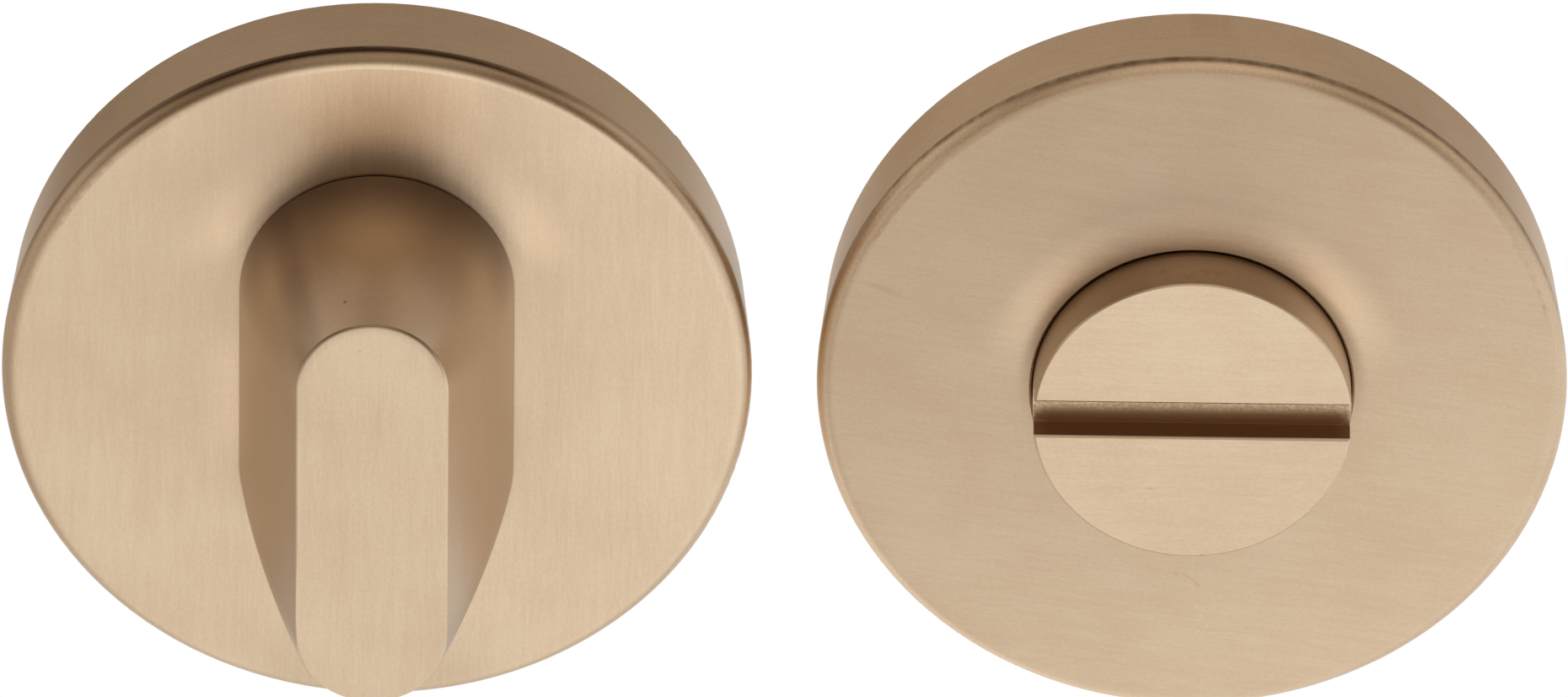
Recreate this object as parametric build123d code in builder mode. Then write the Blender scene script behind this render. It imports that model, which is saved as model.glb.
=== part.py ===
from build123d import *
from math import radians, tan
import os

# Bathroom lock set: a thumb turn on its rose and, beside it, the coin-slotted emergency release on
# a like rose. Millimetres. The backs of both roses lie in the plane y = 0, which is the door's
# face, and the fronts look along -Y. +Z is up and +X points from the turn to the release. The
# origin is where the turn's axis meets the door's face. A height is a distance in front of the
# door's face, so a negative height lies inside the door.

# Rose covers
rose_radius = 26.0
rose_height = 8.0
rose_wall = 1.2
rose_back_radius = 25.4
rose_edge_radius = 1.1
rose_gap = 4.3
edge_break = 0.15

# Cast rose bases
cover_clearance = 0.3
base_plate = 2.4
base_rim = 1.6
hub_radius = 13.0
hub_height = 4.6
rib_count = 6
rib_width = 1.8
rib_height = 4.2
boss_radius = 4.4
boss_height = 3.6
screw_inset = 5.5
lug_radius = 3.75
turn_lug_length = 6.0
release_lug_length = 14.0
lug_chamfer = 0.5

# Connecting screws
screw_radius = 2.0
screw_shank_radius = 1.75
screw_hole_clearance = 0.3
screw_thread_gap = 0.5
screw_reach = 24.0
screw_head_radius = 3.5
screw_head_height = 2.2
screw_recess_width = 1.0
screw_recess_length = 4.2
screw_recess_depth = 1.3
screw_tip_chamfer = 0.6
lug_thread_radius = 1.65

# Bearing stack, from the hub's front to the circlip
journal_radius = 7.5
running_clearance = 0.05
bush_wall = 2.0
bush_flange_radius = 11.0
bush_flange_thickness = 1.0
recess_radius = 10.8
recess_depth = 3.0
washer_bore_clearance = 0.3
washer_radius = 10.2
bow_washer_space = 0.8
bow_washer_thickness = 0.3
bow_washer_clearance = 0.05
thrust_washer_thickness = 0.5
circlip_thickness = 1.0
circlip_side_play = 0.1
circlip_radius = 9.0
circlip_opening_angle = 30.0
circlip_ear_radius = 1.2
circlip_ear_hole_radius = 0.55
groove_depth = 0.6
journal_setback = 0.3

# Open snap rings between base and cover
snap_ring_width = 1.0
snap_ring_thickness = 0.8
snap_ring_height = 3.2
snap_ring_standout = 0.45
snap_ring_clearance = 0.2
snap_ring_opening_angle = 18.0

# Thumb turn
collar_radius = 8.6
collar_clearance = 0.3
turn_gap = 0.1
turn_projection = 18.0
turn_base_width = 19.0
turn_base_length = 32.8
turn_front_width = 10.4
turn_front_length = 30.2
turn_flank_draft_share = 0.49
turn_sections = 5
turn_edge_bevel = 0.1

# Square drive
square = 8.0
square_clearance = 0.05
spindle_corner = 0.6
spindle_reach = 34.0
turn_socket_depth = 13.0
spindle_end_gap = 0.3
pin_radius = 1.0
pin_clearance = 0.04
pin_inset = 0.4

# Coin release
disc_radius = 11.0
disc_clearance = 0.1
disc_projection = 4.2
coin_slot_width = 2.7
coin_slot_depth = 2.0
sleeve_radius = 6.6
sleeve_reach = 12.0
release_socket_depth = 14.0

# Sizes that follow from the ones above
bush_front = hub_height + bush_flange_thickness
bush_bore_radius = journal_radius + running_clearance
bush_radius = bush_bore_radius + bush_wall
hub_bore_radius = bush_radius + running_clearance
thrust_washer_front = recess_depth - bow_washer_space
circlip_front = thrust_washer_front - thrust_washer_thickness
circlip_back = circlip_front - circlip_thickness
groove_radius = journal_radius - groove_depth
washer_bore_radius = journal_radius + washer_bore_clearance
base_radius = rose_radius - rose_wall - cover_clearance
base_height = rose_height - rose_wall
base_edge_radius = max(rose_edge_radius - rose_wall, edge_break)
turn_foot = rose_height + turn_gap
turn_front = rose_height + turn_projection
disc_front = rose_height + disc_projection
snap_ring_radius = base_radius + snap_ring_standout
groove_back = snap_ring_height - snap_ring_clearance
groove_width = snap_ring_thickness + 2 * snap_ring_clearance
screw_pitch = 2 * (base_radius - screw_inset)
rose_spacing = 2 * rose_radius + rose_gap
pin_height = (bush_front + recess_depth) / 2
socket_width = square + 2 * square_clearance
release_axis = (rose_spacing, 0, 0)
turn_axis = (0, 0, 0)


def door_plane(axis, height):
    """Plane parallel to the door, at a height in front of it, centred on a half's axis."""
    return Plane(origin=(axis[0], -height, 0), x_dir=(1, 0, 0), z_dir=(0, -1, 0))


def level_plane(axis):
    """Horizontal plane through a half's axis: x across, y into the door."""
    return Plane(origin=axis, x_dir=(1, 0, 0), z_dir=(0, 0, 1))


def opening_points(angle, reach):
    """Corners of the wedge that is cut from the top of a ring to open it."""
    half_width = reach * tan(radians(angle / 2))
    return (0, 0), (half_width, reach), (-half_width, reach)


def build_rose_cover(axis, hole_radius):
    """Pressed cup: a rim that draws in towards the door, a rounded front edge, a hole for what
    turns, and a groove for the snap ring."""
    from_back = (Align.CENTER, Align.CENTER, Align.MIN)
    with BuildPart() as cover:
        with Locations(door_plane(axis, 0).location):
            Cone(rose_back_radius, rose_radius, rose_height, align=from_back)
        fillet(cover.edges().sort_by(Axis.Y)[0], rose_edge_radius)
        with BuildSketch(door_plane(axis, 0)):
            Circle(rose_radius - rose_wall)
        extrude(amount=rose_height - rose_wall, mode=Mode.SUBTRACT)
        with BuildSketch(door_plane(axis, 0)):
            Circle(hole_radius)
        extrude(amount=rose_height, mode=Mode.SUBTRACT)
        front_circles = cover.edges().filter_by(GeomType.CIRCLE).group_by(Axis.Y)[0]
        chamfer(front_circles.sort_by(SortBy.RADIUS)[0], edge_break)
        with BuildSketch(door_plane(axis, groove_back)):
            Circle(snap_ring_radius + snap_ring_clearance)
        extrude(amount=groove_width, mode=Mode.SUBTRACT)
    return cover


def build_rose_base(axis, lug_length, screw_hole_radius):
    """Cast inner rose: plate, rim, hub, ribs, two screw bosses and two lugs that enter the door."""
    rib_centre = (base_radius - base_rim + hub_radius) / 2
    rib_length = base_radius - hub_radius
    with BuildPart() as base:
        with BuildSketch(door_plane(axis, 0)):
            Circle(base_radius)
        extrude(amount=base_plate)
        with BuildSketch(door_plane(axis, 0)):
            Circle(base_radius)
            Circle(base_radius - base_rim, mode=Mode.SUBTRACT)
        extrude(amount=base_height)
        rim_front = base.edges().filter_by(GeomType.CIRCLE).group_by(Axis.Y)[0]
        fillet(rim_front.sort_by(SortBy.RADIUS)[-1], base_edge_radius)
        with BuildSketch(door_plane(axis, 0)):
            Circle(hub_radius)
        extrude(amount=hub_height)
        with BuildSketch(door_plane(axis, 0)):
            with PolarLocations(rib_centre, rib_count, 180 / rib_count):
                Rectangle(rib_length, rib_width)
        extrude(amount=rib_height)
        with BuildSketch(door_plane(axis, 0)):
            with GridLocations(screw_pitch, 0, 2, 1):
                Circle(boss_radius)
        extrude(amount=boss_height)
        with BuildSketch(door_plane(axis, -lug_length)):
            with GridLocations(screw_pitch, 0, 2, 1):
                Circle(lug_radius)
        extrude(amount=lug_length)
        lug_tips = base.edges().filter_by(GeomType.CIRCLE).group_by(Axis.Y)[-1]
        chamfer(lug_tips, lug_chamfer)
        with BuildSketch(door_plane(axis, 0)):
            Circle(hub_bore_radius)
        extrude(amount=hub_height, mode=Mode.SUBTRACT)
        with BuildSketch(door_plane(axis, 0)):
            Circle(recess_radius)
        extrude(amount=recess_depth, mode=Mode.SUBTRACT)
        with BuildSketch(door_plane(axis, -lug_length)):
            with GridLocations(screw_pitch, 0, 2, 1):
                Circle(screw_hole_radius)
        extrude(amount=lug_length + boss_height, mode=Mode.SUBTRACT)
        with BuildSketch(door_plane(axis, groove_back)):
            Circle(base_radius)
            Circle(snap_ring_radius - snap_ring_width - snap_ring_clearance, mode=Mode.SUBTRACT)
        extrude(amount=groove_width, mode=Mode.SUBTRACT)
    return base


def build_bush(axis):
    """Nylon bush: a body in the hub and a flange on the hub's front."""
    with BuildPart() as bush:
        with BuildSketch(door_plane(axis, recess_depth)):
            Circle(bush_radius)
        extrude(amount=bush_front - recess_depth)
        with BuildSketch(door_plane(axis, hub_height)):
            Circle(bush_flange_radius)
        extrude(amount=bush_flange_thickness)
        with BuildSketch(door_plane(axis, recess_depth)):
            Circle(bush_bore_radius)
        extrude(amount=bush_front - recess_depth, mode=Mode.SUBTRACT)
    return bush


def build_bow_washer(axis):
    """Curved spring washer: a ring cut from a strip that is bent about a vertical line."""
    crest = recess_depth - bow_washer_clearance
    foot = thrust_washer_front + bow_washer_clearance
    rise = crest - foot - bow_washer_thickness
    with BuildPart() as washer:
        with BuildSketch(level_plane(axis)):
            with BuildLine():
                outer = ThreePointArc(
                    (-washer_radius, -foot - bow_washer_thickness),
                    (0, -crest),
                    (washer_radius, -foot - bow_washer_thickness),
                )
                inner = ThreePointArc((-washer_radius, -foot), (0, -foot - rise), (washer_radius, -foot))
                Line(outer @ 0, inner @ 0)
                Line(outer @ 1, inner @ 1)
            make_face()
        extrude(amount=washer_radius, both=True)
        with BuildSketch(door_plane(axis, thrust_washer_front)):
            Circle(washer_radius)
            Circle(washer_bore_radius, mode=Mode.SUBTRACT)
        extrude(amount=bow_washer_space, mode=Mode.INTERSECT)
    return washer


def build_thrust_washer(axis):
    """Flat washer that the circlip bears on."""
    with BuildPart() as washer:
        with BuildSketch(door_plane(axis, circlip_front)):
            Circle(washer_radius)
            Circle(washer_bore_radius, mode=Mode.SUBTRACT)
        extrude(amount=thrust_washer_thickness)
    return washer


def build_circlip(axis):
    """External retaining ring, open at the top, with an eared and drilled end at each side."""
    ring_bore = groove_radius + running_clearance
    ear_angle = circlip_opening_angle / 2 + 8
    ear_reach = circlip_radius - circlip_ear_radius / 2
    with BuildPart() as circlip:
        with BuildSketch(door_plane(axis, circlip_back)):
            Circle(circlip_radius)
            with PolarLocations(ear_reach, 2, 90 - ear_angle, 2 * ear_angle, endpoint=True):
                Circle(circlip_ear_radius)
            Circle(ring_bore, mode=Mode.SUBTRACT)
            opening = opening_points(circlip_opening_angle, 2 * circlip_radius)
            Polygon(*opening, align=None, mode=Mode.SUBTRACT)
            with PolarLocations(ear_reach, 2, 90 - ear_angle, 2 * ear_angle, endpoint=True):
                Circle(circlip_ear_hole_radius, mode=Mode.SUBTRACT)
        extrude(amount=circlip_thickness)
    return circlip


def build_snap_ring(axis):
    """Open spring ring that sits half in the base's groove and half in the cover's."""
    with BuildPart() as ring:
        with BuildSketch(door_plane(axis, snap_ring_height)):
            Circle(snap_ring_radius)
            Circle(snap_ring_radius - snap_ring_width, mode=Mode.SUBTRACT)
            opening = opening_points(snap_ring_opening_angle, 2 * snap_ring_radius)
            Polygon(*opening, align=None, mode=Mode.SUBTRACT)
        extrude(amount=snap_ring_thickness)
    return ring


def build_journal(axis, front, back):
    """Round journal that runs in the bush, with the circlip's groove."""
    with BuildPart() as journal:
        with BuildSketch(door_plane(axis, back)):
            Circle(journal_radius)
        extrude(amount=front - back)
        with BuildSketch(door_plane(axis, circlip_back - circlip_side_play)):
            Circle(journal_radius)
            Circle(groove_radius, mode=Mode.SUBTRACT)
        extrude(amount=circlip_thickness + circlip_side_play, mode=Mode.SUBTRACT)
    return journal


def build_screw(axis, side):
    """Connecting screw: round head with a cross recess, reduced shank, and a threaded end past
    the lug, drawn at the thread's outer radius. The side is -1 for left and 1 for right."""
    screw_axis = (axis[0] + side * screw_pitch / 2, 0, 0)
    thread_length = screw_reach - turn_lug_length - screw_thread_gap
    with BuildPart() as screw:
        with BuildSketch(door_plane(screw_axis, -screw_reach)):
            Circle(screw_radius)
        extrude(amount=thread_length)
        chamfer(screw.edges().sort_by(Axis.Y)[-1], screw_tip_chamfer)
        with BuildSketch(door_plane(screw_axis, thread_length - screw_reach)):
            Circle(screw_shank_radius)
        extrude(amount=boss_height + screw_reach - thread_length)
        with BuildSketch(door_plane(screw_axis, boss_height)):
            Circle(screw_head_radius)
        extrude(amount=screw_head_height)
        fillet(screw.edges().sort_by(Axis.Y)[0], screw_head_height / 2)
        with BuildSketch(door_plane(screw_axis, boss_height + screw_head_height)):
            Rectangle(screw_recess_length, screw_recess_width)
            Rectangle(screw_recess_width, screw_recess_length)
        extrude(amount=-screw_recess_depth, mode=Mode.SUBTRACT)
    return screw


os.makedirs("parts", exist_ok=True)

# Pieces that both halves share
for half, axis in (("turn", turn_axis), ("release", release_axis)):
    bush = build_bush(axis)
    bush.part.label = f"{half}_bush"
    export_step(bush.part, f"parts/{half}_bush.step")

    bow_washer = build_bow_washer(axis)
    bow_washer.part.label = f"{half}_bow_washer"
    export_step(bow_washer.part, f"parts/{half}_bow_washer.step")

    thrust_washer = build_thrust_washer(axis)
    thrust_washer.part.label = f"{half}_thrust_washer"
    export_step(thrust_washer.part, f"parts/{half}_thrust_washer.step")

    circlip = build_circlip(axis)
    circlip.part.label = f"{half}_circlip"
    export_step(circlip.part, f"parts/{half}_circlip.step")

    snap_ring = build_snap_ring(axis)
    snap_ring.part.label = f"{half}_snap_ring"
    export_step(snap_ring.part, f"parts/{half}_snap_ring.step")

# Covers: one pressing with two hole sizes
turn_rose_cover = build_rose_cover(turn_axis, collar_radius + collar_clearance)
turn_rose_cover.part.label = "turn_rose_cover"
export_step(turn_rose_cover.part, "parts/turn_rose_cover.step")

release_rose_cover = build_rose_cover(release_axis, disc_radius + disc_clearance)
release_rose_cover.part.label = "release_rose_cover"
export_step(release_rose_cover.part, "parts/release_rose_cover.step")

# Bases: the turn's has clearance holes, the release's has longer lugs that take the screws' threads
turn_rose_base = build_rose_base(turn_axis, turn_lug_length, screw_radius + screw_hole_clearance)
turn_rose_base.part.label = "turn_rose_base"
export_step(turn_rose_base.part, "parts/turn_rose_base.step")

release_rose_base = build_rose_base(release_axis, release_lug_length, lug_thread_radius)
release_rose_base.part.label = "release_rose_base"
export_step(release_rose_base.part, "parts/release_rose_base.step")

# Connecting screws, in the turn's base
for side, side_name in ((-1, "left"), (1, "right")):
    fixing_screw = build_screw(turn_axis, side)
    fixing_screw.part.label = f"fixing_screw_{side_name}"
    export_step(fixing_screw.part, f"parts/fixing_screw_{side_name}.step")

# Thumb turn: an upright bar with round ends whose flanks close in faster towards the front, a
# collar through the cover, the journal, and the square socket for the spindle
turn_journal = build_journal(turn_axis, bush_front, journal_setback)
with BuildPart() as thumb_turn:
    for section in range(turn_sections):
        share = section / (turn_sections - 1)
        draft = turn_flank_draft_share * share + (1 - turn_flank_draft_share) * share**2
        width = turn_base_width - (turn_base_width - turn_front_width) * draft
        length = turn_base_length - (turn_base_length - turn_front_length) * share
        height = turn_foot + (turn_front - turn_foot) * share
        with BuildSketch(door_plane(turn_axis, height)):
            SlotOverall(length, width, rotation=90)
    loft()
    chamfer(thumb_turn.edges().group_by(Axis.Y)[0], turn_edge_bevel)
    chamfer(thumb_turn.edges().group_by(Axis.Y)[-1], turn_edge_bevel)
    with BuildSketch(door_plane(turn_axis, bush_front)):
        Circle(collar_radius)
    extrude(amount=turn_foot - bush_front)
    add(turn_journal.part)
    with BuildSketch(door_plane(turn_axis, journal_setback)):
        Rectangle(socket_width, socket_width)
    extrude(amount=turn_socket_depth, mode=Mode.SUBTRACT)
    with BuildSketch(level_plane(turn_axis)):
        with Locations((0, -pin_height)):
            Circle(pin_radius + pin_clearance)
    extrude(amount=journal_radius, both=True, mode=Mode.SUBTRACT)
thumb_turn.part.label = "thumb_turn"
export_step(thumb_turn.part, "parts/thumb_turn.step")

# Spindle: a square bar from the turn's socket into the door
spindle_front = journal_setback + turn_socket_depth - spindle_end_gap
with BuildPart() as spindle:
    with BuildSketch(door_plane(turn_axis, -spindle_reach)) as spindle_section:
        Rectangle(square, square)
        chamfer(spindle_section.vertices(), spindle_corner)
    extrude(amount=spindle_front + spindle_reach)
    with BuildSketch(level_plane(turn_axis)):
        with Locations((0, -pin_height)):
            Circle(pin_radius + pin_clearance)
    extrude(amount=square, both=True, mode=Mode.SUBTRACT)
spindle.part.label = "spindle"
export_step(spindle.part, "parts/spindle.step")

# Cross pin through the journal and the spindle
with BuildPart() as spindle_pin:
    with BuildSketch(level_plane(turn_axis)):
        with Locations((0, -pin_height)):
            Circle(pin_radius)
    extrude(amount=journal_radius - pin_inset, both=True)
spindle_pin.part.label = "spindle_pin"
export_step(spindle_pin.part, "parts/spindle_pin.step")

# Coin release: slotted disc, journal, and a sleeve in the door with the spindle's socket
release_journal = build_journal(release_axis, bush_front, 0)
with BuildPart() as release_disc:
    with BuildSketch(door_plane(release_axis, bush_front)):
        Circle(disc_radius)
    extrude(amount=disc_front - bush_front)
    with BuildSketch(door_plane(release_axis, disc_front)):
        Rectangle(3 * disc_radius, coin_slot_width)
    extrude(amount=-coin_slot_depth, mode=Mode.SUBTRACT)
    chamfer(release_disc.edges().group_by(Axis.Y)[0], edge_break)
    add(release_journal.part)
    with BuildSketch(door_plane(release_axis, -sleeve_reach)):
        Circle(sleeve_radius)
    extrude(amount=sleeve_reach)
    with BuildSketch(door_plane(release_axis, -sleeve_reach)):
        Rectangle(socket_width, socket_width)
    extrude(amount=release_socket_depth, mode=Mode.SUBTRACT)
release_disc.part.label = "release_disc"
export_step(release_disc.part, "parts/release_disc.step")
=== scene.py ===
from math import cos, pi, radians, sin

import bmesh
import bpy
from mathutils import Matrix, Vector


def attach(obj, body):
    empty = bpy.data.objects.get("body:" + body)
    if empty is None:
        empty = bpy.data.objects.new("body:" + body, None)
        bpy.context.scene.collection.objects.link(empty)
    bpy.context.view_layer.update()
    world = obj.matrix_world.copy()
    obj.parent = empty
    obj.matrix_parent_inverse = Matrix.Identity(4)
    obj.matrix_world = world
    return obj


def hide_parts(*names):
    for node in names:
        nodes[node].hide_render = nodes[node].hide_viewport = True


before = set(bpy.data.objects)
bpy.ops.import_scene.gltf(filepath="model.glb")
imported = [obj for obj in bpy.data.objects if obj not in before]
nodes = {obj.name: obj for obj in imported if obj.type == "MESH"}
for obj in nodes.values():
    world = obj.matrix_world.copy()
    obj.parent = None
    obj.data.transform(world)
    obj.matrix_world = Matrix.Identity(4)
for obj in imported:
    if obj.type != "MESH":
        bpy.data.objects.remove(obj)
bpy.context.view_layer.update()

# Bathroom lock set in satin rose metal: a thumb turn on its rose and, beside it, the coin
# release on a rose like it. The scene is in metres: the backs of the roses lie in the plane
# y = 0 and their fronts face -Y. The finishes work in millimetres from the axis of each half:
# across, height in front of the door, and up.
mm_per_metre = 1000.0
release_axis_mm = 56.3
rose_height_mm = 8.0
turn_front_mm = 26.0
disc_front_mm = 12.2
coin_slot_width_mm = 2.7
coin_slot_depth_mm = 2.0

# Connecting screws, in metres
screw_axis_x = 0.019
screw_reach = 0.024
thread_outer_radius = 0.00198
thread_depth = 0.00036
thread_pitch = 0.0007
thread_length = 0.0174
thread_lead_in = 0.0004
thread_tip = 0.0006
thread_rings = 201
thread_sides = 25

# Colours
white = (1.0, 1.0, 1.0, 1.0)
rose_metal = (0.80, 0.632, 0.455, 1.0)
rose_metal_deep = (0.62, 0.445, 0.29, 1.0)
rose_metal_light = (0.90, 0.745, 0.56, 1.0)
rose_metal_pale = (0.81, 0.705, 0.60, 1.0)
pit_brown = (0.12, 0.07, 0.04, 1.0)
slot_brown = (0.56, 0.385, 0.23, 1.0)
slot_light_brown = (0.78, 0.58, 0.40, 1.0)
# The slot's painted shade: deep brown on the lower part of its floor, darkest on its walls
slot_painted_shade_brown = (0.50, 0.32, 0.18, 1.0)
slot_wall_painted_shade_brown = (0.28, 0.18, 0.12, 1.0)
zinc = ((0.30, 0.30, 0.31, 1.0), (0.46, 0.46, 0.47, 1.0))
nylon = ((0.80, 0.78, 0.72, 1.0), (0.90, 0.89, 0.85, 1.0))
spring_steel = ((0.09, 0.09, 0.10, 1.0), (0.22, 0.22, 0.25, 1.0))
plated_steel = ((0.52, 0.53, 0.55, 1.0), (0.72, 0.71, 0.68, 1.0))

# Brushing: its slope in degrees from level, and the turn of its highlight
level_slope, highlight_of_level = 0.0, 0.25
upright, highlight_of_upright = 90.0, 0.0

# Marks on the faces: place across and up, half length, half width, slope in degrees, and how
# much lighter (above nought) or darker (below nought)
release_marks = (
    (-21.2, 7.7, 1.3, 0.28, -24.0, -0.30),
    (-0.79, -14.93, 0.15, 0.10, 53.0, -0.45),
    (-0.01, -15.14, 0.55, 0.07, -34.0, -0.40),
    (0.64, -15.72, 0.34, 0.10, -53.0, -0.45),
    (0.61, -17.60, 0.20, 0.05, -75.0, 0.9),
    (0.99, -18.33, 0.23, 0.05, -64.0, 0.9),
    (1.38, -19.15, 0.25, 0.05, -70.0, 0.6),
)
turn_marks = (
    (-0.86, 13.04, 0.09, 0.07, 0.0, -0.9),
    (0.44, 7.3, 1.6, 0.2, 90.0, -0.25),
)
disc_marks = (
    (-2.77, -5.5, 0.35, 0.12, 0.0, -0.4),
    (0.84, -10.86, 0.15, 0.12, 0.0, -1.0),
)


class Field:
    """A number that changes over a surface. An expression on fields adds its Math nodes."""

    def __init__(self, tree, socket):
        self.tree = tree
        self.socket = socket

    def maths(self, operation, *values):
        settings = {"operation": operation}
        return self.tree.node("ShaderNodeMath", settings, dict(enumerate(values)))

    def __add__(self, other):
        return self.maths("ADD", self, other)

    def __radd__(self, other):
        return self.maths("ADD", other, self)

    def __sub__(self, other):
        return self.maths("SUBTRACT", self, other)

    def __rsub__(self, other):
        return self.maths("SUBTRACT", other, self)

    def __mul__(self, other):
        return self.maths("MULTIPLY", self, other)

    def __rmul__(self, other):
        return self.maths("MULTIPLY", other, self)

    def __truediv__(self, other):
        return self.maths("DIVIDE", self, other)

    def __pow__(self, other):
        return self.maths("POWER", self, other)

    def __neg__(self):
        return self.maths("MULTIPLY", self, -1.0)

    def __abs__(self):
        return self.maths("ABSOLUTE", self)

    def least(self, other):
        return self.maths("MINIMUM", self, other)

    def most(self, other):
        return self.maths("MAXIMUM", self, other)

    def held(self):
        """Kept from nought to one."""
        return self.most(0.0).least(1.0)

    def rise(self, low, high):
        """Nought below low, one above high, and smooth between them."""
        return self.tree.node(
            "ShaderNodeMapRange",
            {"interpolation_type": "SMOOTHSTEP"},
            {"Value": self, "From Min": low, "From Max": high},
        )

    def fall(self, low, high):
        """One below low, nought above high."""
        return 1.0 - self.rise(low, high)

    def between(self, rise_low, rise_high, fall_low, fall_high):
        """One in a band, nought on both sides of it."""
        return self.rise(rise_low, rise_high) * self.fall(fall_low, fall_high)


def distance(first, second):
    """How far a point with these two coordinates is from nought."""
    square = first * first + second * second
    return square.maths("SQRT", square)


class Tree:
    """A node tree whose maths is written as expressions on fields."""

    def __init__(self, made):
        self.made = made

    def node(self, kind, settings=None, sockets=None, output=0):
        """Adds a node and gives the field of one output, or of each in a tuple of outputs."""
        made = self.made.nodes.new(kind)
        for name, value in (settings or {}).items():
            setattr(made, name, value)
        for name, value in (sockets or {}).items():
            if isinstance(value, Field):
                self.made.links.new(value.socket, made.inputs[name])
            else:
                made.inputs[name].default_value = value
        if isinstance(output, tuple):
            return [Field(self, made.outputs[name]) for name in output]
        return Field(self, made.outputs[output])

    def point(self, x, y, z):
        return self.node("ShaderNodeCombineXYZ", None, {0: x, 1: y, 2: z})

    def give(self, kind, field, name):
        """Adds the tree's output node and links the field to its input of that name."""
        output = self.made.nodes.new(kind)
        self.made.links.new(field.socket, output.inputs[name])


class Shading(Tree):
    """The nodes of one material or of the world."""

    def __init__(self, owner):
        owner.use_nodes = True
        super().__init__(owner.node_tree)
        self.made.nodes.clear()

    def noise(self, x, y, z, detail=2.0, roughness=0.5):
        """Noise from nought to one over a point, with features about one unit across."""
        place = self.point(x, y, z)
        sockets = {"Vector": place, "Scale": 1.0, "Detail": detail, "Roughness": roughness}
        return self.node("ShaderNodeTexNoise", None, sockets)

    def colours(self, share, first, second):
        """First where share is nought, second where it is one."""
        sockets = {0: share, 6: first, 7: second}
        return self.node("ShaderNodeMix", {"data_type": "RGBA"}, sockets, 2)

    def brown(self, level, green_power=1.22, blue_power=1.48):
        """The light of a level from nought to one, browner where it is dim."""
        dim = level.least(1.0)
        green = level * dim ** (green_power - 1.0)
        blue = level * dim ** (blue_power - 1.0)
        return self.node("ShaderNodeCombineColor", None, {0: level, 1: green, 2: blue})

    def shade(self, colour, amount):
        """A colour dimmed by a field, and a little browner where it is dim."""
        settings = {"data_type": "RGBA", "blend_type": "MULTIPLY"}
        brown = self.brown(amount, 1.10, 1.20)
        return self.node("ShaderNodeMix", settings, {0: 1.0, 6: colour, 7: brown}, 2)

    def glow(self, level):
        """The light of a level in the metal, and white where the camera sees it."""
        seen = self.node("ShaderNodeLightPath", None, None, "Is Camera Ray")
        return self.colours(seen, self.brown(level), white)


class Finish(Shading):
    """A material on a piece, with its place in millimetres from the axis of its half."""

    def __init__(self, name, axis_mm=0.0):
        self.material = bpy.data.materials.new(name)
        super().__init__(self.material)
        place = self.node("ShaderNodeTexCoord", None, None, "Object")
        sockets = {0: place, "Scale": mm_per_metre}
        place_mm = self.node("ShaderNodeVectorMath", {"operation": "SCALE"}, sockets)
        x, y, z = self.node("ShaderNodeSeparateXYZ", None, {0: place_mm}, (0, 1, 2))
        self.across = x - axis_mm if axis_mm else x
        self.height = -y
        self.up = z

    def nothing(self):
        return self.height * 0.0

    def even_noise(self, per_mm, detail=2.0, roughness=0.5):
        """Noise as fine in all directions."""
        place = self.across * per_mm, self.height * per_mm, self.up * per_mm
        return self.noise(*place, detail, roughness)

    def spot(self, across, up, half_length, half_width, slope_degrees=0.0, softness=0.6):
        """One inside a small ellipse on a surface that faces the front, nought outside. Its
        length runs at a slope from level."""
        slope = radians(slope_degrees)
        aside = self.across - across
        above = self.up - up
        along = (aside * cos(slope) + above * sin(slope)) / half_length
        over = (above * cos(slope) - aside * sin(slope)) / half_width
        return (along * along + over * over).fall(1.0 - softness, 1.0 + softness)

    def marks(self, mark_list):
        """The marks of a list, lighter above nought and darker below it."""
        mark_softness = 0.8
        marks = self.nothing()
        for *shape, strength in mark_list:
            marks = marks + self.spot(*shape, mark_softness) * strength
        return marks

    def relief(self, height, depth_mm):
        """The normal of a surface raised by a field; depth_mm is what one unit of it rises."""
        sockets = {"Height": height, "Distance": depth_mm / mm_per_metre, "Strength": 1.0}
        return self.node("ShaderNodeBump", None, sockets)

    def wear(self, shader):
        self.give("ShaderNodeOutputMaterial", shader, "Surface")
        return self.material


def brushing(finish, slope_degrees):
    """Soft straight brush lines on a face, at a slope from level, over a satin mottle. The
    last number brings the mean to a half."""
    lines_per_mm = 5.0
    along_per_mm = 0.35
    slope = radians(slope_degrees)
    along = finish.across * cos(slope) + finish.up * sin(slope)
    over = finish.up * cos(slope) - finish.across * sin(slope)
    line = along * along_per_mm
    fine = finish.noise(line, over * lines_per_mm, finish.height * 0.3, 3.0, 0.65)
    broad = finish.noise(line * 0.3, over * lines_per_mm * 0.25, 3.7, 2.0)
    mottle = finish.noise(along * 3.0, over * 4.5, finish.height, 3.0, 0.7)
    return fine * 0.42 + broad * 0.20 + mottle * 0.60 - 0.11


def turning(finish):
    """Brush lines that run round a piece at one height, over a coarser mottle. The last
    number brings the mean to a half."""
    lines_per_mm = 6.0
    along_per_mm = 0.14
    aside = finish.across * along_per_mm
    above = finish.up * along_per_mm
    line = finish.height * lines_per_mm
    fine = finish.noise(aside, line, above, 3.0, 0.65)
    broad = finish.noise(aside * 0.5, line * 0.3, above * 0.5, 2.0)
    mottle = finish.noise(
        finish.across * 5.0, finish.height * 6.0, finish.up * 5.0, 3.0, 0.7
    )
    return fine * 0.45 + broad * 0.20 + mottle * 1.20 - 0.425


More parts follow.
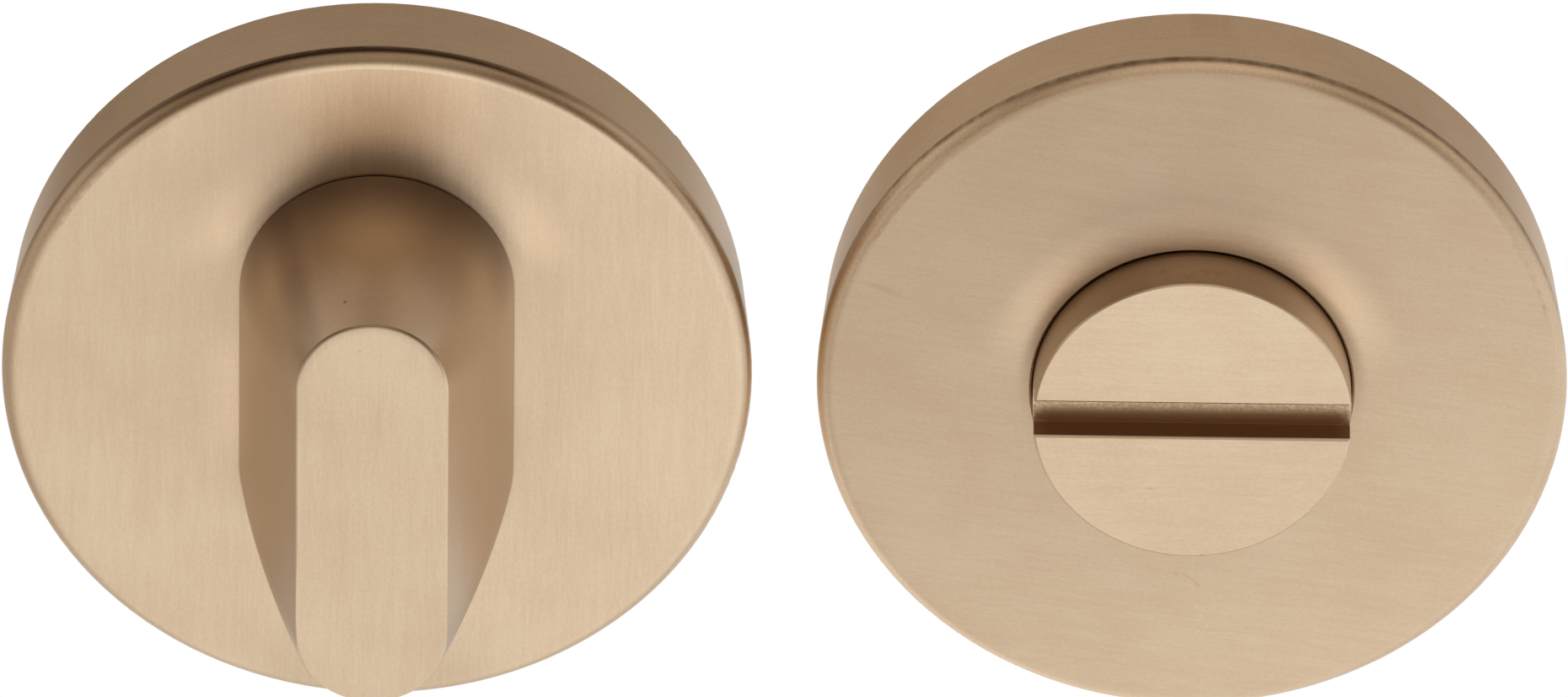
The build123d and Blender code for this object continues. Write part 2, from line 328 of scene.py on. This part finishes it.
def satin_rose_metal(
    finish,
    face_share,
    painted_light_level,
    brush_slope_degrees,
    turn_of_highlight,
    roughness=0.26,
    marks=None,
    pits=None,
    paleness=0.0,
    bare=None,
    bare_colour=None,
):
    """Brushed satin rose metal: one shader with the long highlights of straight brushing on
    the faces, and one for the sides. Its painted light level is the share of full light
    painted into its colour, as painted light and shade. Marks lighten or darken it, pits are
    small holes, paleness is less colour, and where the metal is bare of its finish it has the
    bare colour."""
    cloud_per_mm = 0.12
    tone_share = 0.42
    grain_depth_mm = 0.0045
    pit_depth = 4.0
    face_anisotropy = 0.7
    marks = marks or finish.nothing()
    pits = pits or finish.nothing()
    face_grain = brushing(finish, brush_slope_degrees)
    side_grain = turning(finish)
    grain = side_grain + (face_grain - side_grain) * face_share
    cloud = finish.even_noise(cloud_per_mm, 3.0)
    two_tones = (cloud * 0.35 + grain * 0.65).rise(0.3, 0.7)
    tone = finish.colours(two_tones, rose_metal_deep, rose_metal_light)
    colour = finish.colours(tone_share, rose_metal, tone)
    colour = finish.colours(paleness, colour, rose_metal_pale)
    colour = finish.colours(marks.held(), colour, rose_metal_light)
    colour = finish.colours((-marks).held(), colour, rose_metal_deep)
    colour = finish.colours(pits, colour, pit_brown)
    # Painted light and shade: the colour is dimmed by the painted light level
    colour = finish.shade(colour, painted_light_level)
    if bare:
        colour = finish.colours(bare, colour, bare_colour)
    roughness = roughness + grain * 0.10 + cloud * 0.04 + pits * 0.3
    normal = finish.relief(grain - pits * pit_depth, grain_depth_mm)
    shaders = []
    for anisotropic, rotation in ((0.0, 0.0), (face_anisotropy, turn_of_highlight)):
        sockets = {
            "Base Color": colour,
            "Metallic": 1.0,
            "Roughness": roughness,
            "Normal": normal,
            "Anisotropic": anisotropic,
            "Anisotropic Rotation": rotation,
        }
        shaders.append(finish.node("ShaderNodeBsdfPrincipled", None, sockets))
    side, face = shaders
    sockets = {0: face_share, 1: side, 2: face}
    return finish.wear(finish.node("ShaderNodeMixShader", None, sockets))


# In the finishes of the four pieces that show, rise, fall and between take millimetres, and
# the number that multiplies what they give is how much lighter or darker the metal is painted
# there, as painted light and painted shade. A face's painted light is a level on the axis, and
# its change per millimetre.


def turn_cover_finish():
    """Upright brushing, with the turn's painted shade and painted glow on the face round it.
    """
    finish = Finish("satin_rose_metal_turn_cover")
    across, height, up = finish.across, finish.height, finish.up
    beside = abs(across)
    face_share = height.rise(rose_height_mm - 0.2, rose_height_mm - 0.01)

    # The face: from_turn is the distance from the turn's outline, round its upper end. Round
    # the turn the face has painted glow and painted shade, and its painted light is lighter to
    # the right.
    from_turn = distance(across, up - 6.9) - 9.5
    # Painted glow on the face beside the turn
    painted_glow_beside_turn = beside.fall(9.5, 13.0) * abs(up + 1.0).fall(2.0, 7.0)
    painted_glow_beside_turn = painted_glow_beside_turn * (0.7 - across * 0.03)
    # Painted shade above the turn's upper end
    painted_shade_above_turn = from_turn.fall(0.0, 3.0) * up.rise(8.0, 14.0) * beside.fall(3.0, 9.0)
    # Painted glow in the corners beside the turn's upper end
    corners = from_turn.between(0.4, 1.4, 2.0, 5.5) * up.rise(8.0, 12.0)
    corners = corners * beside.rise(2.5, 6.0)
    # Painted glow near the top
    painted_glow_near_top = from_turn.rise(1.0, 3.6) * up.rise(15.0, 20.0)
    painted_glow_near_top = painted_glow_near_top * (0.3 + beside.fall(4.0, 9.0) * 0.7)
    # Painted shade below the turn's lower end
    painted_shade_below_turn = up.fall(-24.0, -18.0) * beside.fall(4.0, 11.0)
    lighter = painted_glow_beside_turn * 0.15 + painted_glow_near_top * 0.21 + corners * 0.20
    # The face's painted light, lighter to the right, with the painted glow and painted shade
    # on it
    face = 1.03 + across * 0.0012
    face = face * (1.0 + lighter - painted_shade_above_turn * 0.14) * (1.0 - painted_shade_below_turn * 0.09)

    # The rounded edge: a painted dark line along it over the top, and softer painted shade in
    # front of that
    upper = up.rise(2.0, 20.0) * (1.0 - across.rise(5.0, 18.0) * 0.80)
    upper = upper * (1.0 - (-across).rise(10.0, 22.0) * 0.40)
    painted_dark_edge_line = height.between(6.55, 6.85, 7.15, 7.55) * upper
    edge_shade = height.between(7.05, 7.35, 7.9, rose_height_mm) * upper
    # The rim's painted light level, darker than the face
    rim = 0.80
    painted_light_level = rim + (face - rim) * face_share
    painted_light_level = painted_light_level * (1.0 - painted_dark_edge_line * 0.74 - edge_shade * 0.28)
    return satin_rose_metal(finish, face_share, painted_light_level, upright, highlight_of_upright)


def release_cover_finish():
    """Brushing at a slope, with the disc's painted shade and painted glow on the face round
    it.
    """
    finish = Finish("satin_rose_metal_release_cover", release_axis_mm)
    across, height, up = finish.across, finish.height, finish.up
    radius = distance(across, up)
    face_share = height.rise(rose_height_mm - 0.15, rose_height_mm - 0.01)
    # Painted glow above the disc and painted shade round its sides
    painted_glow_above_disc = radius.between(11.2, 12.2, 12.2, 15.5) * up.rise(0.0, 9.0)
    painted_shade_round_disc = radius.fall(11.3, 12.4) * up.between(-4.0, 4.0, 7.0, 10.0)
    # The face's painted light: darker to the left and towards the top
    face = 0.918 + across * 0.0024 - up * 0.0048 + painted_glow_above_disc * 0.36
    face = face * (1.0 - painted_shade_round_disc * 0.22)
    # The rim's painted light, darker to the right
    rim = 1.08 - across.rise(2.0, 16.0) * 0.19
    stain = finish.noise(across * 0.9, height * 0.4, up * 0.9, 4.0, 0.7)
    # The rounded edge: a painted dark line, made patchy by a real stain, so part dirt and part
    # painted shade
    painted_dark_edge_line = height.between(6.5, 6.8, 7.0, 7.5) * up.rise(0.0, 18.0)
    edge_dirt_and_painted_shade = painted_dark_edge_line * (0.35 + stain.rise(0.35, 0.65) * 0.25)
    painted_light_level = (rim + (face - rim) * face_share) * (1.0 - edge_dirt_and_painted_shade)
    rim_patch = finish.spot(0.9, 25.5, 1.4, 3.0) * height.fall(2.0, 4.5)
    marks = finish.marks(release_marks) - rim_patch * 0.25
    return satin_rose_metal(
        finish, face_share, painted_light_level, -9.0, highlight_of_level, roughness=0.33, marks=marks
    )


def turn_finish():
    """Upright brushing on the front, and sides in painted shade that browns them, with a
    painted lighter crown at both ends.
    """
    finish = Finish("satin_rose_metal_turn")
    across, height, up = finish.across, finish.height, finish.up
    beside = abs(across)
    face_share = height.rise(turn_front_mm - 0.12, turn_front_mm - 0.02)

    # The sides, which spread from the front to the door, and their painted light and painted
    # shade
    ends = abs(up).rise(7.0, 12.0)
    crown = beside.fall(1.0, 7.0)
    foot = height.fall(9.0, 16.0)
    # Painted shade over the sides, darker on the right and near the foot at both ends
    sides = 0.68 - across.rise(5.0, 9.0) * 0.08 - ends * foot * 0.40
    # Painted lighter crown at both ends
    sides = sides + ends * crown * height.rise(12.0, 22.0) * 0.42
    # Painted shade at the lower end
    painted_shade_lower_end = up.fall(-14.0, -7.0)
    sides = sides * (1.0 - painted_shade_lower_end * (0.22 + across.rise(2.0, 6.0) * 0.26))
    # Painted shade in a band on the end
    from_band = abs(across + 6.7 - (height - 10.0) * 0.153)
    band = from_band.fall(0.2, 1.4) * up.rise(9.0, 11.0)
    sides = sides * (1.0 - band * 0.25)
    # Painted shade on the top bevel
    painted_shade_top_bevel = height.rise(25.85, 25.9) * (1.0 - face_share) * up.rise(9.0, 13.0)
    sides = sides * (1.0 - painted_shade_top_bevel * 0.6)

    # The front: from_middle is the distance from the middle of its round upper end. It has a
    # painted dark line along its top edge and painted shade just under it.
    from_middle = distance(across, up - 9.9)
    painted_shade_under_top_edge = from_middle.rise(4.3, 5.2) * up.rise(9.9, 12.5)
    painted_dark_top_edge = from_middle.rise(4.9, 5.07) * up.rise(9.9, 13.0)
    # The front's painted light, with the painted dark line and painted shade at its top
    front = 1.0 - painted_shade_under_top_edge * 0.16 - painted_dark_top_edge * 0.40
    # The painted light level of the sides and the front
    painted_light_level = sides + (front - sides) * face_share

    paleness = ends * (1.0 - face_share) * (0.35 + foot * 0.65) * up.rise(0.0, 2.0)
    paleness = paleness * beside.fall(5.0, 8.5)
    end_pit = finish.spot(-1.93, 14.9, 0.10, 0.25) * abs(height - 22.8).fall(0.06, 0.18)
    marks = finish.marks(turn_marks)
    return satin_rose_metal(
        finish,
        face_share,
        painted_light_level,
        upright,
        highlight_of_upright,
        marks=marks,
        pits=end_pit * 0.6,
        paleness=paleness,
    )


def disc_finish():
    """Level brushing, and a slot cut through the finish down to brown metal, with the slot's
    shade painted into its colours.
    """
    finish = Finish("satin_rose_metal_disc", release_axis_mm)
    across, height, up = finish.across, finish.height, finish.up
    face_share = height.rise(disc_front_mm - 0.14, disc_front_mm - 0.04)

    # The slot's floor and walls: brown metal with painted shade, darker on the lower part of
    # the floor and darkest on the walls
    half_slot = coin_slot_width_mm / 2.0
    floor_height = disc_front_mm - coin_slot_depth_mm
    slot = height.fall(disc_front_mm - 0.2, disc_front_mm - 0.12)
    slot = slot * abs(up).fall(half_slot + 0.01, half_slot + 0.05)
    slot = slot * height.rise(floor_height - 0.3, floor_height - 0.1)
    slot_wall = slot * height.rise(floor_height + 0.01, floor_height + 0.1)
    specks = finish.noise(across * 3.5, height * 3.5, up * 5.0, 4.0, 0.75)
    worn_ends = abs(across).rise(9.7, 10.8) * specks.rise(0.35, 0.55)
    slot_colour = finish.colours(specks.rise(0.42, 0.62), slot_brown, slot_light_brown)
    # Painted shade: darker on the lower part of the slot's floor
    slot_colour = finish.colours(up.rise(-0.7, 0.15), slot_painted_shade_brown, slot_colour)
    slot_colour = finish.colours(worn_ends * 0.6, slot_colour, rose_metal)
    # Painted shade: the slot's walls darkest
    slot_colour = finish.colours(slot_wall, slot_colour, slot_wall_painted_shade_brown)

    # A stain on the top of the disc's wall
    stain = finish.noise(across * 1.1, height * 0.8, up * 1.1, 4.0, 0.7).rise(0.52, 0.62)
    wall_top = height.rise(9.0, 10.0) * (1.0 - face_share) * up.rise(9.0, 10.6)
    stain = wall_top * stain * abs(across + 1.0).fall(2.0, 4.0)
    marks = finish.marks(disc_marks) - stain * 0.5

    # The wall's painted light: painted shade on its top, lighter towards both ends and more so
    # on the right
    sides = 0.54 + across.rise(3.0, 11.0) * 0.36 + (-across).rise(3.0, 11.0) * 0.22
    painted_light_level = sides + (1.05 - sides) * face_share
    return satin_rose_metal(
        finish,
        face_share,
        painted_light_level,
        level_slope,
        highlight_of_level,
        marks=marks,
        paleness=(1.0 - face_share) * 0.5,
        bare=slot,
        bare_colour=slot_colour,
    )


def plain_finish(name, colours, grain, metallic, roughness, spread, depth_mm):
    """A two-toned finish whose colour, roughness and relief follow one grain."""
    finish = Finish(name)
    pattern = grain(finish)
    sockets = {
        "Base Color": finish.colours(pattern.rise(0.25, 0.75), *colours),
        "Metallic": metallic,
        "Roughness": roughness + pattern * spread,
        "Normal": finish.relief(pattern, depth_mm),
    }
    return finish.wear(finish.node("ShaderNodeBsdfPrincipled", None, sockets))


def cast_grain(finish):
    return finish.even_noise(0.5, 3.0) * 0.5 + finish.even_noise(5.0, 3.0) * 0.5


def moulded_grain(finish):
    return finish.even_noise(1.2)


def drawn_grain(finish):
    across, height, up = finish.across, finish.height, finish.up
    fine = finish.noise(across * 6.0, height * 0.1, up * 6.0, 3.0)
    coarse = finish.noise(across * 0.7, height * 0.2, up * 0.7)
    return fine * 0.6 + coarse * 0.4


def rolled_grain(finish):
    fine = finish.noise(finish.across * 0.3, finish.height * 4.0, finish.up * 7.0, 3.0)
    return fine * 0.5 + finish.even_noise(0.6) * 0.5


# Name, colours, grain, metallic, roughness and its spread, and depth of the grain
zinc_finish = plain_finish("zinc_casting", zinc, cast_grain, 0.85, 0.42, 0.2, 0.03)
nylon_finish = plain_finish("nylon", nylon, moulded_grain, 0.0, 0.38, 0.15, 0.01)
spring_finish = plain_finish("spring_steel", spring_steel, rolled_grain, 1.0, 0.25, 0.2, 0.004)
plated_finish = plain_finish("plated_steel", plated_steel, drawn_grain, 1.0, 0.2, 0.15, 0.004)
finishes = {
    "turn_rose_cover": turn_cover_finish(),
    "release_rose_cover": release_cover_finish(),
    "thumb_turn": turn_finish(),
    "release_disc": disc_finish(),
    "spindle": plated_finish,
    "spindle_pin": plated_finish,
}
for half in ("turn", "release"):
    finishes[f"{half}_rose_base"] = zinc_finish
    finishes[f"{half}_bush"] = nylon_finish
    finishes[f"{half}_bow_washer"] = spring_finish
    finishes[f"{half}_thrust_washer"] = plated_finish
    finishes[f"{half}_circlip"] = spring_finish
    finishes[f"{half}_snap_ring"] = spring_finish
for name, material in finishes.items():
    for material_slot in nodes[name].material_slots:
        material_slot.material = material


class Growth(Tree):
    """A Geometry Nodes tree with named inputs."""

    def __init__(self, name, inputs):
        super().__init__(bpy.data.node_groups.new(name, "GeometryNodeTree"))
        self.identifiers = {}
        self.ask("Geometry", "NodeSocketGeometry", "INPUT")
        for label, kind in inputs.items():
            self.ask(label, kind, "INPUT")
        self.ask("Geometry", "NodeSocketGeometry", "OUTPUT")
        self.entry = self.made.nodes.new("NodeGroupInput")

    def ask(self, label, kind, way):
        socket = self.made.interface.new_socket(label, in_out=way, socket_type=kind)
        self.identifiers[label] = socket.identifier

    def taken(self, label):
        return Field(self, self.entry.outputs[label])

    def step(self, kind, **sockets):
        return self.node(kind, None, sockets)


def thread_growth():
    """A helical thread, closed at both ends, that joins the screw's head and shank."""
    flank_slope = 2.8
    flank_start = 0.35
    tip_slope = 0.6
    end_share = 0.0005
    merge_distance = 1e-6
    sizes = (
        "Axis X", "Front Y", "Outer Radius", "Thread Depth",
        "Pitch", "Length", "Lead In", "Tip",
    )
    inputs = {label: "NodeSocketFloat" for label in sizes}
    inputs["Rings"] = "NodeSocketInt"
    inputs["Sides"] = "NodeSocketInt"
    inputs["Material"] = "NodeSocketMaterial"
    growth = Growth("screw_thread", inputs)

    # A unit grid: x runs along the thread and y once round it
    sockets = {"Vertices X": growth.taken("Rings"), "Vertices Y": growth.taken("Sides")}
    sockets |= {"Size X": 1.0, "Size Y": 1.0}
    grid = growth.node("GeometryNodeMeshGrid", None, sockets)
    place = growth.node("GeometryNodeInputPosition")
    x, y = growth.node("ShaderNodeSeparateXYZ", None, {0: place}, (0, 1))
    share = x + 0.5
    turn = y + 0.5
    angle = turn * (2.0 * pi)

    # The radius: root, flanks and crest, faded in at the shank and narrowed at the tip
    length = growth.taken("Length")
    along = share * length
    phase = along / growth.taken("Pitch") - turn
    phase = phase.maths("FRACT", phase)
    crest = ((0.5 - abs(phase - 0.5)) * flank_slope - flank_start).held()
    tip = growth.taken("Tip")
    from_tip = ((length - along) / tip).least(1.0)
    fade = (along / growth.taken("Lead In") - 1.0).held() * from_tip
    depth = growth.taken("Thread Depth")
    radius = growth.taken("Outer Radius") - depth + depth * crest * fade
    radius = radius - (1.0 - from_tip) * tip * tip_slope
    radius = radius * share.maths("GREATER_THAN", share, end_share)
    radius = radius * share.maths("LESS_THAN", share, 1.0 - end_share)

    wound = growth.point(
        growth.taken("Axis X") + radius * angle.maths("COSINE", angle),
        growth.taken("Front Y") + along,
        radius * angle.maths("SINE", angle),
    )
    tube = growth.step("GeometryNodeSetPosition", Geometry=grid, Position=wound)
    core = growth.step("GeometryNodeMergeByDistance", Geometry=tube, Distance=merge_distance)
    joined = growth.made.nodes.new("GeometryNodeJoinGeometry")
    for part in (growth.taken("Geometry"), core):
        growth.made.links.new(part.socket, joined.inputs[0])
    screw = Field(growth, joined.outputs[0])
    real = growth.step("GeometryNodeRealizeInstances", Geometry=screw)
    material = growth.taken("Material")
    worn = growth.step("GeometryNodeSetMaterial", Geometry=real, Material=material)
    growth.give("NodeGroupOutput", worn, "Geometry")
    return growth


def screw_head_and_shank(node, name, cut_y):
    """The screw's solid as far as the end of its plain shank, closed where it is cut."""
    weld_distance = 2e-6
    smooth_angle = radians(30.0)
    mesh = nodes[node].data.copy()
    mesh.name = name
    work = bmesh.new()
    work.from_mesh(mesh)
    bmesh.ops.remove_doubles(work, verts=work.verts, dist=weld_distance)
    bmesh.ops.bisect_plane(
        work,
        geom=[*work.verts, *work.edges, *work.faces],
        plane_co=(0.0, cut_y, 0.0),
        plane_no=(0.0, 1.0, 0.0),
        clear_outer=True,
    )
    rim = [edge for edge in work.edges if edge.is_boundary]
    bmesh.ops.holes_fill(work, edges=rim, sides=0)
    bmesh.ops.recalc_face_normals(work, faces=work.faces)
    for edge in work.edges:
        edge.smooth = edge.is_manifold and edge.calc_face_angle(0.0) < smooth_angle
    for face in work.faces:
        face.smooth = True
    work.to_mesh(mesh)
    work.free()
    piece = bpy.data.objects.new(name, mesh)
    bpy.context.scene.collection.objects.link(piece)
    return piece


thread = thread_growth()
thread_front_y = screw_reach - thread_length
cut_y = thread_front_y + thread_lead_in
for side, side_name in ((-1, "left"), (1, "right")):
    node = f"fixing_screw_{side_name}"
    source = screw_head_and_shank(node, f"connecting_screw_{side_name}", cut_y)
    modifier = source.modifiers.new("thread", "NODES")
    modifier.node_group = thread.made
    given = {
        "Axis X": side * screw_axis_x,
        "Front Y": thread_front_y,
        "Outer Radius": thread_outer_radius,
        "Thread Depth": thread_depth,
        "Pitch": thread_pitch,
        "Length": thread_length,
        "Lead In": thread_lead_in,
        "Tip": thread_tip,
        "Rings": thread_rings,
        "Sides": thread_sides,
        "Material": plated_finish,
    }
    for label, value in given.items():
        modifier[thread.identifiers[label]] = value
    source.update_tag()
    bpy.context.view_layer.update()
    grown = source.evaluated_get(bpy.context.evaluated_depsgraph_get())
    plain = bpy.data.meshes.new_from_object(grown)
    source.modifiers.remove(modifier)
    source.data = plain
    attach(source, "roses")
    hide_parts(node)

# Floor: plain and pale, well below the pair, and seen only from above. It glows: white to the
# camera, and in reflections a painted glow, dimmer behind and on the left and brighter on the
# right.
floor_level = -0.2
reach = 12.0
corners = [(-reach, -reach), (reach, -reach), (reach, reach), (-reach, reach)]
floor_mesh = bpy.data.meshes.new("floor")
floor_mesh.from_pydata([(x, y, floor_level) for x, y in corners], [], [(0, 1, 2, 3)])
floor = bpy.data.objects.new("floor", floor_mesh)
bpy.context.scene.collection.objects.link(floor)

floor_material = bpy.data.materials.new("pale_floor")
floor_finish = Shading(floor_material)
place = floor_finish.node("ShaderNodeTexCoord", None, None, "Object")
floor_x, floor_y = floor_finish.node("ShaderNodeSeparateXYZ", None, {0: place}, (0, 1))
# Painted glow: dimmer on the left and behind, brighter on the right
dim_left = floor_x.fall(-0.22, -0.08)
bright_right = floor_x.rise(0.10, 0.24)
level = 0.88 - floor_y.rise(0.25, 0.9) * 0.42
level = level * (1.0 - dim_left * 0.32 + bright_right * 0.08)
sockets = {"Color": floor_finish.glow(level), "Strength": 1.0}
lit = floor_finish.node("ShaderNodeEmission", None, sockets)
clear = floor_finish.node("ShaderNodeBsdfTransparent")
under = floor_finish.node("ShaderNodeNewGeometry", None, None, "Backfacing")
pale = floor_finish.node("ShaderNodeMixShader", None, {0: under, 1: lit, 2: clear})
floor_finish.give("ShaderNodeOutputMaterial", pale, "Surface")
floor_mesh.materials.append(floor_material)

# Studio: bright from the front and the sides, dim overhead, with a dark band behind
world = bpy.data.worlds.new("studio")
bpy.context.scene.world = world
studio = Shading(world)
direction = studio.node("ShaderNodeTexCoord", None, None, "Generated")
east, north, up = studio.node("ShaderNodeSeparateXYZ", None, {0: direction}, (0, 1, 2))
beside = abs(east)
front = (-north).rise(-0.5, 0.8)
side = beside.rise(0.5, 0.95)
dim_quarter = beside.between(0.22, 0.5, 0.62, 0.95)
level_front = 0.92 * (1.0 - up.rise(-0.15, 0.75) * 0.70) * (1.0 - dim_quarter * 0.72)
level_front = level_front + up.rise(0.45, 0.85) * 0.38
dark_band = up.rise(0.62, 0.72)
level_back = (0.43 + side * 0.25) * (1.0 - dark_band * 0.90) + up.rise(0.82, 0.93) * 0.36
level = level_back + (level_front - level_back) * front
sockets = {"Color": studio.glow(level), "Strength": 1.0}
background = studio.node("ShaderNodeBackground", None, sockets)
studio.give("ShaderNodeOutputWorld", background, "Surface")
bpy.context.scene.view_settings.view_transform = "Standard"

# A small soft light above the release, which lights its edge and the right of the turn
soft_light_place = Vector((0.13, 0.0, 0.16))
soft_light_target = Vector((0.05, 0.0, 0.0))
soft_light_data = bpy.data.lights.new("soft_light", "AREA")
soft_light_data.shape = "RECTANGLE"
soft_light_data.size = 0.14
soft_light_data.size_y = 0.24
soft_light_data.energy = 0.02
soft_light_data.color = (1.0, 0.88, 0.76)
soft_light = bpy.data.objects.new("soft_light", soft_light_data)
bpy.context.scene.collection.objects.link(soft_light)
soft_light.location = soft_light_place
facing = (soft_light_place - soft_light_target).to_track_quat("Z", "Y")
soft_light.rotation_euler = facing.to_euler()
soft_light.visible_camera = False

# Camera: square on to the pair and above it, from far off through a long lens
frame_width = 0.1082  # what the picture's width takes in at the place looked at
elevation = radians(31.0)
roll = radians(0.75)
looked_at = Vector((0.0281, -0.008, 0.00288))
camera_data = bpy.data.cameras.new("camera")
camera_data.sensor_width = 36.0
camera_data.lens = 650.0
camera_data.clip_start = 0.1
camera_data.clip_end = 60.0
camera = bpy.data.objects.new("camera", camera_data)
bpy.context.scene.collection.objects.link(camera)
rightwards = Vector((1.0, 0.0, 0.0))
upwards = Vector((0.0, sin(elevation), cos(elevation)))
backwards = Vector((0.0, -cos(elevation), sin(elevation)))
camera_right = rightwards * cos(roll) + upwards * sin(roll)
camera_up = upwards * cos(roll) - rightwards * sin(roll)
away = frame_width * camera_data.lens / camera_data.sensor_width
camera_stand = looked_at + backwards * away
axes = Matrix((camera_right, camera_up, backwards)).transposed()
camera.matrix_world = Matrix.Translation(camera_stand) @ axes.to_4x4()
bpy.context.scene.camera = camera
